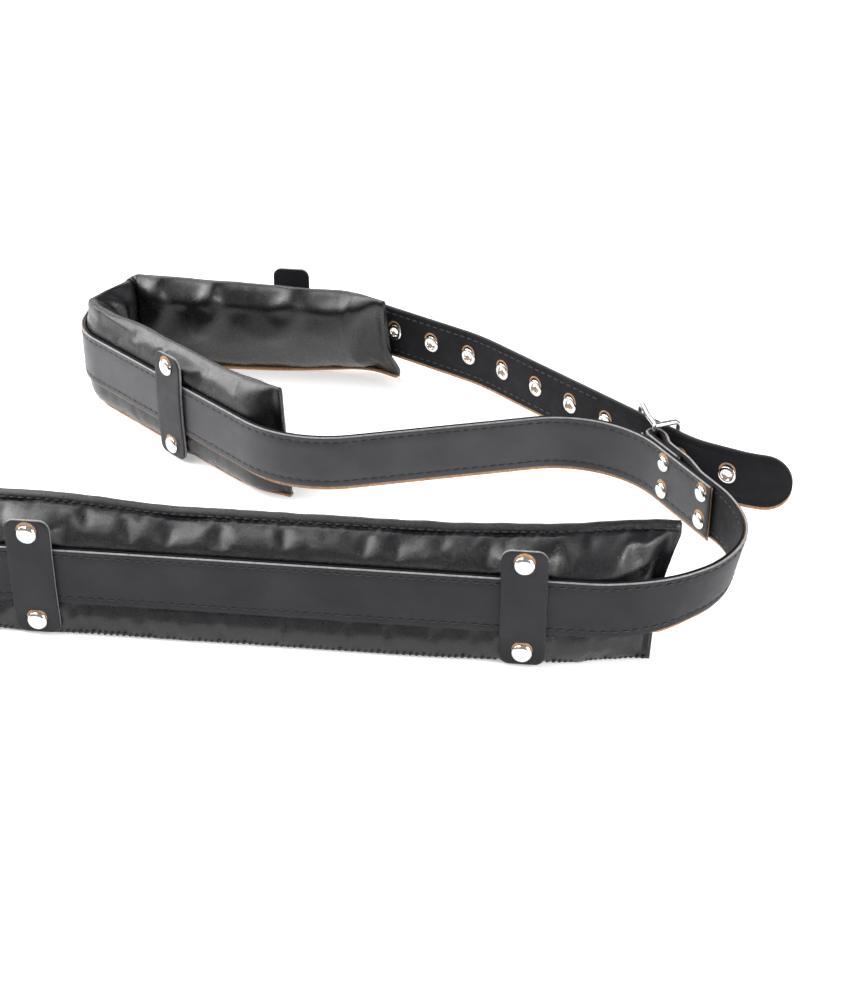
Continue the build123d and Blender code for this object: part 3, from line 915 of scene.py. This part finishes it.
def to_chord(distance):
    """How far behind the strap the chord across the bend is."""
    place, run = CUFF.at(distance)
    inward, along = Vector((run.y, -run.x)), CHORD[1] - CHORD[0]
    across = along.cross(inward)
    return along.cross(CHORD[0] - place) / across - GAP if abs(across) > 1 else 40.0


def cuff_rim(distance):
    rim = between(distance, [(CUFF_PAD_START, 10.5), (BEND_START - 30, 9.5), (BEND_START + 8, 5.0),
                             (BEND_MIDDLE, 21.0), (BEND_END, 20.5), (BEND_END + 80, 21.0),
                             (CUFF_PAD_END, 25.0)])
    if BEND_START + 8 < distance < BEND_END - 6:
        rim = max(4.5, min(21.0, to_chord(distance)))
    return rim


def cuff_seam(distance):
    return between(distance, [(CUFF_PAD_START, 12.5), (CUFF_PAD_START + 45, 7.5), (BEND_START, 7),
                              (BEND_END, 5.5), (CUFF_PAD_END, 0.5)])


def lip(distance):
    """The height where the back run's slope turns down, which lifts at each ridge."""
    raised = sum(math.exp(-((distance - ridge) / 7) ** 2) for ridge in RIDGES)
    return 53.0 + 3.5 * raised + 4 * eased(distance, CUFF_PAD_END - 60, CUFF_PAD_END - 8)


def cuff_section(distance):
    rim, seam, top = cuff_rim(distance), cuff_seam(distance), between(distance, CUFF_TOP)
    strap_side = [(seam - 2, 1.6), (1.2, 4.8), (-0.6, 10), (-0.4, 15.5), (0.1, 20), (0.1, 33), (0.1, 46),
                  (0.9, 51.0)]
    turn = lip(distance)
    front = strap_side + [(3.2, 56.5), (rim - 4.0, top - 3.2), (rim, top), (rim + 3.2, top - 2.2),
                          (rim + 6.0, 54), (rim + 7.0, 42), (rim + 6, 25), (rim + 3, 10),
                          (seam + 3.5, 3.4), (seam + 1, 1.9)]
    back = strap_side + [(5.5, 51.5 + 0.2 * (top - 51)), (rim - 7.5, top - 4.6), (rim, top),
                         (rim + 6.0, (top + turn) / 2 + 1.6), (rim + 10.6, turn + 1.8),
                         (rim + 10.2, turn - 4.5), (rim + 6.2, 37), (rim * 0.82, 20),
                         (seam + 4.5, 6), (seam + 1.5, 1.9)]
    room = BEND_DEPTH
    bend = strap_side + [(rim * 0.4, 56.5), (rim - 2.4, 64.2), (rim, top), (min(rim + 3.2, room - 1), 63.5),
                         (min(rim + 12, room), 57), (min(rim + 15, room), 44), (min(rim + 13, room - 1), 27),
                         (min(rim + 8, room - 4), 11), (seam + 3.5, 3.4), (seam + 1, 1.9)]
    shape = mixed(front, bend, eased(distance, BEND_START - 15, BEND_START + 12))
    shape = mixed(shape, back, eased(distance, BEND_END - 10, BEND_END + 16))
    shape = drawn_in(shape, near_keeper(distance, KEEPERS_CUFF))
    first = end_share(distance - CUFF_PAD_START - FLANGE, 24)
    last = end_share(CUFF_PAD_END - FLANGE - distance, 26)
    flat_first = [(11.8 + (1.6 if k > 10 else -1.6) * (k not in (0, 10)), z)
                  for k, (x, z) in enumerate(shape)]
    slope = [(0, 0.5), (30, 9), (66, 25)]
    flat_last = [(between(z, slope) + (1.7 if k > 10 else -1.7) * (k not in (0, 10)), z)
                 for k, (x, z) in enumerate(shape)]
    shape = mixed(mixed(shape, flat_first, first), flat_last, last)
    lift = cuff_lift(distance)
    return [(max(x, 0.1 * math.exp(-((z - STRAP_MIDDLE) / 19) ** 8)) if k < 11 and abs(z - 33) < 17 else x,
             z + lift * max(0.0, 1 - z / 22)) for k, (x, z) in enumerate(shape)]


def cuff_lift(distance):
    """The far end's bottom seam stands off the ground."""
    return 4.5 * eased(distance, CUFF_PAD_END - 90, CUFF_PAD_END)


def cuff_shear(distance, height):
    """The ends are not square: the front one leans back, the far one is hollow."""
    first = 1 - eased(distance, CUFF_PAD_START, CUFF_PAD_START + 40)
    last = eased(distance, CUFF_PAD_END - 40, CUFF_PAD_END)
    hollow = math.sin(math.pi * min(1.0, height / 66)) ** 2
    return 5.5 * first * height / 66 + last * (8.0 * eased(height, 30, 66) - 4.0 * hollow)


def cuff_crease(distance, behind, height):
    """Broad folds that fade downwards on the wearer's side, pleats round the bend and small puckers."""
    loose = 1 - pressed(behind, height)
    near_end = eased(distance, CUFF_PAD_START + FLANGE, CUFF_PAD_START + 26) * (
        1 - eased(distance, CUFF_PAD_END - 26, CUFF_PAD_END - FLANGE))
    inner = eased(behind, cuff_rim(distance) - 1, cuff_rim(distance) + 6)
    upper = 0.1 + 0.9 * eased(height, 16, 48)
    drift = (60 - height) * 0.32
    folds = 0.0
    for ridge, wide, tall in zip(RIDGES, (7, 6.5, 9), (2.6, 2.6, 1.8)):
        folds += tall * math.exp(-((distance - ridge + drift) / wide) ** 2)
    below_lip = 1 - eased(height, 49, 55)
    for pocket, wide, deep in zip(RIDGES, (9, 9, 14), (3.6, 2.2, 1.4)):
        folds -= deep * math.exp(-((distance - pocket + drift - 17) / wide) ** 2) * below_lip
    round_bend = math.exp(-((distance - BEND_MIDDLE - 8) / 30) ** 4)
    pleats = 1.9 * round_bend * math.sin((distance - BEND_START) / 3.6) * eased(height, 25, 55)
    wide = noise.noise(Vector((distance / 26, height / 28, behind / 26 + 9)))
    fine = noise.noise(Vector((distance / 7, height / 15, 2 + behind / 14)))
    return near_end * (loose * (0.9 * wide + 0.16 * fine) + inner * upper * (folds + pleats))


cuff_places = spaced(CUFF_PAD_START, CUFF_PAD_END, 1.7)
CUFF_PAD, cuff_marks = cushion("cuff_pad_skin", CUFF, cuff_places, -1, cuff_section, CUFF_STEPS, ROOT,
                               ("cuff_pad_cover", "cuff_pad_foam"), cuff_shear)
creased(CUFF_PAD, cuff_marks, cuff_crease)


def cuff_held(distance, behind, height):
    """The strap, the keepers, the rim, the bottom seam and the ends hold the cuff pad's skin."""
    at_keeper = near_keeper(distance, KEEPERS_CUFF) * (behind < 4)
    rim = 0.8 * math.exp(-((height - between(distance, CUFF_TOP)) / 2.0) ** 4)
    seam = math.exp(-(height / 4.0) ** 4)
    inside_bend = math.exp(-((distance - BEND_MIDDLE - 4) / 40) ** 6) * (behind > 8)
    ends = max(eased(distance, CUFF_PAD_END - 12, CUFF_PAD_END - 6),
               1 - eased(distance, CUFF_PAD_START + 6, CUFF_PAD_START + 12))
    return max(at_keeper, rim, seam, inside_bend, ends, pressed(behind, height))


swell(CUFF_PAD, cuff_marks, cuff_held, pressure=1.0, spare=0.006)


def welt():
    """The raw edge of the sole that the cuff's pad is sewn to, showing as a thin line under it."""
    vertices, places = [], spaced(CUFF_PAD_START + 0.5, CUFF_PAD_END - 0.5, 3)
    for distance in places:
        section, lift = cuff_section(distance), cuff_lift(distance)
        near, far = section[0][0] - 0.9, section[-1][0] + 1.3
        for behind, height in ((near, 0.3), (near - 0.3, 0.9), (near, 1.6),
                               (far, 1.6), (far + 0.3, 0.9), (far, 0.3)):
            height += lift
            along = distance + cuff_shear(distance, height)
            vertices.append(CUFF.world(along, -(GAP + behind), height))
    made = piece("cuff_pad_welt", vertices, tube_faces(len(places), 6), ROOT)
    paint(made, TAN)


welt()

# Metal that keeps its CAD shape
for node in ("buckle_frame", "buckle_prong"):
    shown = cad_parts[node]
    shown.data.materials.clear()
    shown.data.materials.append(NICKEL)


# Floor, light and camera

def stage():
    bpy.ops.mesh.primitive_plane_add(size=8)
    floor = bpy.context.object
    floor.name = "floor"
    floor.location.z = CAD_LOW.z - 0.0002
    material, tree, shader, where = nodes_of("floor_paper")
    speckle = texture(tree, "ShaderNodeTexNoise", where, 30.0, 3.0)
    tree.links.new(ramp(tree, speckle.outputs[0], 0.86, 0.9), shader.inputs["Base Color"])
    shader.inputs["Roughness"].default_value = 0.9
    shader.inputs["Emission Color"].default_value = (1, 1, 1, 1)
    shader.inputs["Emission Strength"].default_value = 0.35
    paint(floor, material)
    world = bpy.data.worlds.new("studio")
    world.use_nodes = True
    world.node_tree.nodes["Background"].inputs[0].default_value = (0.95, 0.96, 1.0, 1)
    world.node_tree.nodes["Background"].inputs[1].default_value = 0.32
    scene.world = world


def area_light(name, place, target, wide, deep, radiance):
    light = bpy.data.lights.new(name, "AREA")
    light.shape, light.size, light.size_y = "RECTANGLE", wide, deep
    light.energy = radiance * math.pi * wide * deep
    lamp = bpy.data.objects.new(name, light)
    lamp.location = place
    lamp.rotation_euler = (Vector(target) - Vector(place)).to_track_quat("-Z", "Y").to_euler()
    scene.collection.objects.link(lamp)


stage()
area_light("overhead", (-0.72, 0.0, 1.2), (-0.1, 0, 0), 1.1, 0.9, 5.5)
area_light("front_overhead", (-0.68, -0.86, 1.15), (-0.1, 0, 0), 0.9, 0.4, 4.5)
area_light("left_softbox", (-1.4, 0.2, 0.8), (-0.1, 0, 0.03), 1.1, 0.7, 11)
area_light("right_softbox", (1.0, -0.6, 0.5), (0.2, -0.05, 0.03), 0.5, 0.5, 15)
area_light("back_softbox", (-0.5, 1.3, 0.9), (0, 0, 0.02), 1.2, 0.5, 4)

CAMERA_PLACE = (0.14708, -0.85217, 0.515)
CAMERA_TILT, CAMERA_TURN, CAMERA_LENS, SENSOR_WIDTH = 59.0, 6.6, 66.3, 36.0
camera = bpy.data.objects.new("camera", bpy.data.cameras.new("camera"))
camera.data.lens, camera.data.sensor_width = CAMERA_LENS, SENSOR_WIDTH
camera.location = CAMERA_PLACE
camera.rotation_euler = Euler((math.radians(CAMERA_TILT), 0, math.radians(CAMERA_TURN)))
scene.collection.objects.link(camera)
scene.camera = camera
scene.view_settings.view_transform = "Standard"
